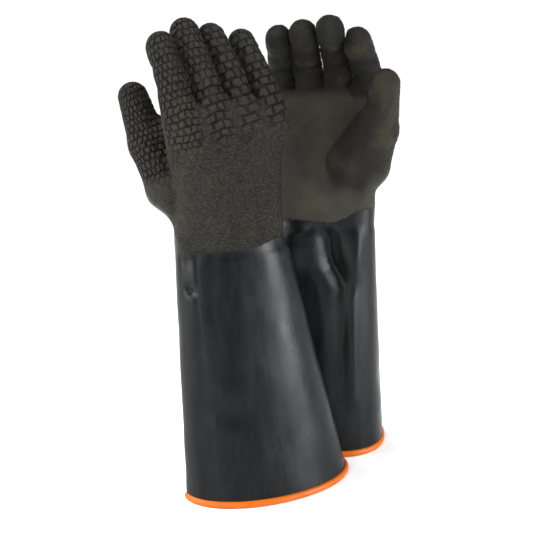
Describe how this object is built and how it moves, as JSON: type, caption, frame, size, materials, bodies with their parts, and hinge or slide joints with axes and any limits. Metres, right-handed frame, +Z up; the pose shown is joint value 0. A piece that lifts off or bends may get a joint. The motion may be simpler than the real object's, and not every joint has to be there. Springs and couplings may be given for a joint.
{
  "type": "cryogenic gloves",
  "caption": "Elbow-length insulated rubber gauntlets with rolled orange cuff beads, knitted liners and textured grip hands, standing upright on their cuffs.",
  "frame": {"origin": "on the surface that the cuffs stand on, under the middle of the box around both gloves", "axes": "+Z up along the gloves to the fingertips, -Y the front, towards the glove whose back shows; +X to the right in the front view"},
  "size_m": [0.2424, 0.2172, 0.4086],
  "materials": {
    "black_rubber": "smooth satin black rubber with a soft sheen",
    "grip_rubber": "matte crinkled grip coat, dark warm grey",
    "orange_bead": "satin orange rubber",
    "knit_liner": "undyed looped knit"
  },
  "bodies": {
    "front_gauntlet_body": {"front_gauntlet": "black_rubber", "front_cuff_bead": "orange_bead", "front_gauntlet_liner": "knit_liner"},
    "front_hand": {"front_hand_shell": "grip_rubber", "front_hand_liner": "knit_liner"},
    "front_index": {"front_index_stall": "grip_rubber", "front_index_liner": "knit_liner"},
    "front_middle": {"front_middle_stall": "grip_rubber", "front_middle_liner": "knit_liner"},
    "front_ring": {"front_ring_stall": "grip_rubber", "front_ring_liner": "knit_liner"},
    "front_little": {"front_little_stall": "grip_rubber", "front_little_liner": "knit_liner"},
    "front_thumb": {"front_thumb_stall": "grip_rubber", "front_thumb_liner": "knit_liner"},
    "rear_gauntlet_body": {"rear_gauntlet": "black_rubber", "rear_cuff_bead": "orange_bead", "rear_gauntlet_liner": "knit_liner"},
    "rear_hand": {"rear_hand_shell": "grip_rubber", "rear_hand_liner": "knit_liner"},
    "rear_index": {"rear_index_stall": "grip_rubber", "rear_index_liner": "knit_liner"},
    "rear_middle": {"rear_middle_stall": "grip_rubber", "rear_middle_liner": "knit_liner"},
    "rear_ring": {"rear_ring_stall": "grip_rubber", "rear_ring_liner": "knit_liner"},
    "rear_little": {"rear_little_stall": "grip_rubber", "rear_little_liner": "knit_liner"},
    "rear_thumb": {"rear_thumb_stall": "grip_rubber", "rear_thumb_liner": "knit_liner"}
  },
  "joints": [
    {"name": "front_wrist_bend", "type": "hinge", "parent": "front_gauntlet_body", "child": "front_hand", "pos_m": [-0.02806, -0.0396, 0.226], "axis": [-0.9266, -0.3744, -0.0349], "range_deg": [-30, 30], "stiffness_Nm_per_rad": 4},
    {"name": "front_index_bend", "type": "hinge", "parent": "front_hand", "child": "front_index", "pos_m": [-0.06757, -0.05557, 0.33458], "axis": [-0.9069, -0.3664, -0.2079], "range_deg": [-12, 45], "stiffness_Nm_per_rad": 0.4},
    {"name": "front_middle_bend", "type": "hinge", "parent": "front_hand", "child": "front_middle", "pos_m": [-0.04269, -0.04551, 0.33952], "axis": [-0.9016, -0.3643, -0.2334], "range_deg": [-12, 45], "stiffness_Nm_per_rad": 0.4},
    {"name": "front_ring_bend", "type": "hinge", "parent": "front_hand", "child": "front_ring", "pos_m": [-0.01813, -0.03559, 0.33744], "axis": [-0.8956, -0.3618, -0.2588], "range_deg": [-12, 42], "stiffness_Nm_per_rad": 0.4},
    {"name": "front_little_bend", "type": "hinge", "parent": "front_hand", "child": "front_little", "pos_m": [0.00529, -0.02613, 0.33632], "axis": [-0.889, -0.3592, -0.284], "range_deg": [-12, 45], "stiffness_Nm_per_rad": 0.4},
    {"name": "front_thumb_bend", "type": "hinge", "parent": "front_hand", "child": "front_thumb", "pos_m": [-0.08007, -0.04552, 0.26626], "axis": [-0.8797, 0.2422, -0.4093], "range_deg": [-12, 25], "stiffness_Nm_per_rad": 0.6},
    {"name": "rear_wrist_bend", "type": "hinge", "parent": "rear_gauntlet_body", "child": "rear_hand", "pos_m": [0.05494, 0.0444, 0.226], "axis": [0.9842, -0.1735, -0.0349], "range_deg": [-30, 8], "stiffness_Nm_per_rad": 4},
    {"name": "rear_index_bend", "type": "hinge", "parent": "rear_hand", "child": "rear_index", "pos_m": [0.09691, 0.037, 0.33458], "axis": [0.9803, -0.1728, 0.0958], "range_deg": [-12, 20], "stiffness_Nm_per_rad": 0.4},
    {"name": "rear_middle_bend", "type": "hinge", "parent": "rear_hand", "child": "rear_middle", "pos_m": [0.07047, 0.04166, 0.33952], "axis": [0.9811, -0.173, 0.0872], "range_deg": [-12, 45], "stiffness_Nm_per_rad": 0.4},
    {"name": "rear_ring_bend", "type": "hinge", "parent": "rear_hand", "child": "rear_ring", "pos_m": [0.04438, 0.04626, 0.33744], "axis": [0.9818, -0.1731, 0.0785], "range_deg": [-12, 42], "stiffness_Nm_per_rad": 0.4},
    {"name": "rear_little_bend", "type": "hinge", "parent": "rear_hand", "child": "rear_little", "pos_m": [0.01951, 0.05064, 0.33632], "axis": [0.9839, -0.1735, 0.0436], "range_deg": [-12, 27], "stiffness_Nm_per_rad": 0.4},
    {"name": "rear_thumb_bend", "type": "hinge", "parent": "rear_hand", "child": "rear_thumb", "pos_m": [0.10218, 0.02185, 0.26626], "axis": [0.6542, -0.7063, -0.2705], "range_deg": [-12, 25], "stiffness_Nm_per_rad": 0.6},
    {"name": "pair_apart", "type": "slide", "parent": "front_gauntlet_body", "child": "rear_gauntlet_body", "axis": [0.4848, 0.8746, 0], "range_m": [0, 0.15]}
  ]
}
